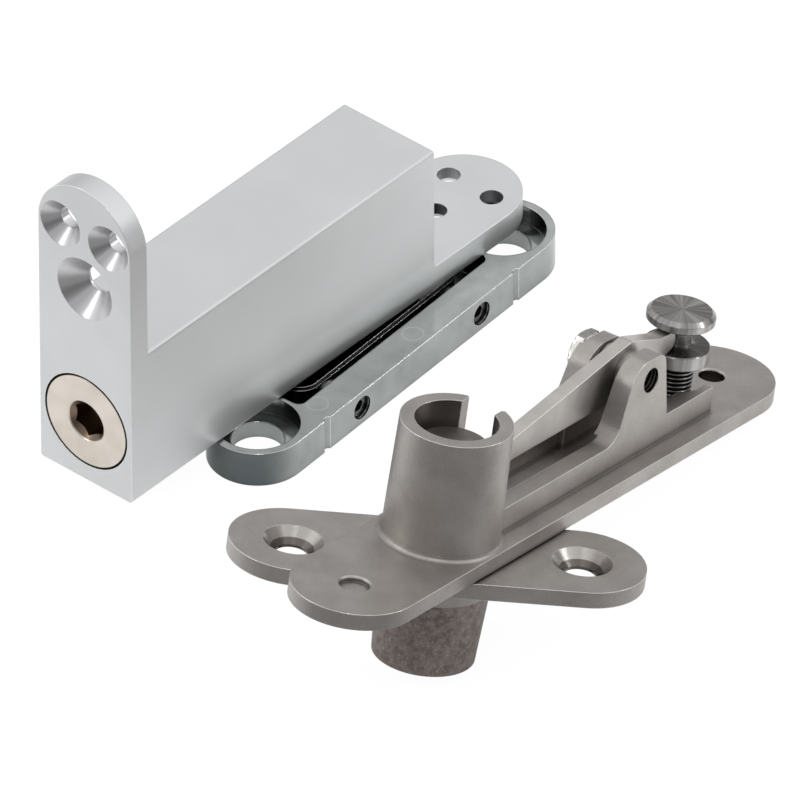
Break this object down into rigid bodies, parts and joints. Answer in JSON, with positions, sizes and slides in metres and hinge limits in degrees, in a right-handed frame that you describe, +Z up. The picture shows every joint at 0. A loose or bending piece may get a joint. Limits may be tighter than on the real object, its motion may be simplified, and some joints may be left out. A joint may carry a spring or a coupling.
{
  "type": "pivot hinge set",
  "caption": "Self-closing bottom pivot in an aluminium block with its floor bracket, and a top pivot whose walking-beam lever draws the pin, laid out side by side.",
  "frame": {"origin": "on the floor plane, on the closer spindle's axis", "axes": "+X from the closer's front to its rear, +Y to its far side, +Z up"},
  "size_m": [0.1804, 0.1471, 0.0932],
  "materials": {
    "anodised_aluminium": "fine satin, anodised",
    "nickel_plate": "satin nickel plate",
    "rubber": "matt",
    "zinc_plate": "bright bluish zinc plate on a casting",
    "black_oxide": "black oxide, slightly glossy",
    "cast_stainless": "blasted investment casting",
    "turned_steel": "turned bright",
    "hardened_steel": "ground and oiled",
    "bronze": "sintered bronze",
    "spring_steel": "oil tempered"
  },
  "bodies": {
    "closer": {"closer_body": "anodised_aluminium", "bore_plug": "nickel_plate", "plug_seal": "rubber", "upper_bearing": "bronze", "lower_bearing": "bronze", "spindle_seal": "rubber", "main_spring": "spring_steel", "spring_seat": "turned_steel", "floor_bracket": "zinc_plate", "set_screw_front": "hardened_steel", "set_screw_rear": "hardened_steel", "frame_plate": "cast_stainless", "lever_bolt": "turned_steel"},
    "spindle": {"spindle": "hardened_steel"},
    "piston": {"piston": "turned_steel", "roller_axle": "hardened_steel"},
    "roller": {"roller": "hardened_steel"},
    "shoe": {"bracket_shoe": "black_oxide"},
    "adjusting_screw": {"adjusting_screw": "turned_steel"},
    "lever": {"lever": "cast_stainless"},
    "pivot_pin": {"pivot_pin": "turned_steel"},
    "door_plate": {"door_plate": "cast_stainless", "socket_bush": "bronze"}
  },
  "joints": [
    {"name": "spindle_turn", "type": "hinge", "parent": "closer", "child": "spindle", "pos_m": [0, 0, 0], "axis": [0, 0, 1], "range_deg": [0, 105]},
    {"name": "piston_slide", "type": "slide", "parent": "closer", "child": "piston", "axis": [1, 0, 0], "range_m": [0, 0.00441], "deforming": ["main_spring"]},
    {"name": "roller_spin", "type": "hinge", "parent": "piston", "child": "roller", "pos_m": [0.0085, 0, 0.0261], "axis": [0, 0, 1], "continuous": true},
    {"name": "shoe_slide", "type": "slide", "parent": "closer", "child": "shoe", "axis": [0.9988, 0.0488, 0], "range_m": [-0.005, 0.005]},
    {"name": "screw_travel", "type": "slide", "parent": "closer", "child": "adjusting_screw", "axis": [-0.2227, -0.0242, -0.9746], "range_m": [0, 0.00361]},
    {"name": "lever_tilt", "type": "hinge", "parent": "closer", "child": "lever", "pos_m": [0.06788, -0.08627, 0.03431], "axis": [-0.108, 0.9942, 0], "range_deg": [0, 11.37]},
    {"name": "pin_slide", "type": "slide", "parent": "closer", "child": "pivot_pin", "axis": [0.2227, 0.0242, 0.9746], "range_m": [0, 0.014]},
    {"name": "door_plate_swing", "type": "hinge", "parent": "closer", "child": "door_plate", "pos_m": [-0.0042, -0.0941, 0.0327], "axis": [0.2227, 0.0242, 0.9746], "range_deg": [-53.5, 156.5]}
  ],
  "couplings": [
    {"joint": "piston_slide", "follows": "spindle_turn", "m_per_rad": 0.0024064},
    {"joint": "lever_tilt", "follows": "screw_travel", "rad_per_m": 54.886},
    {"joint": "pin_slide", "follows": "screw_travel", "ratio": 3.8733}
  ]
}
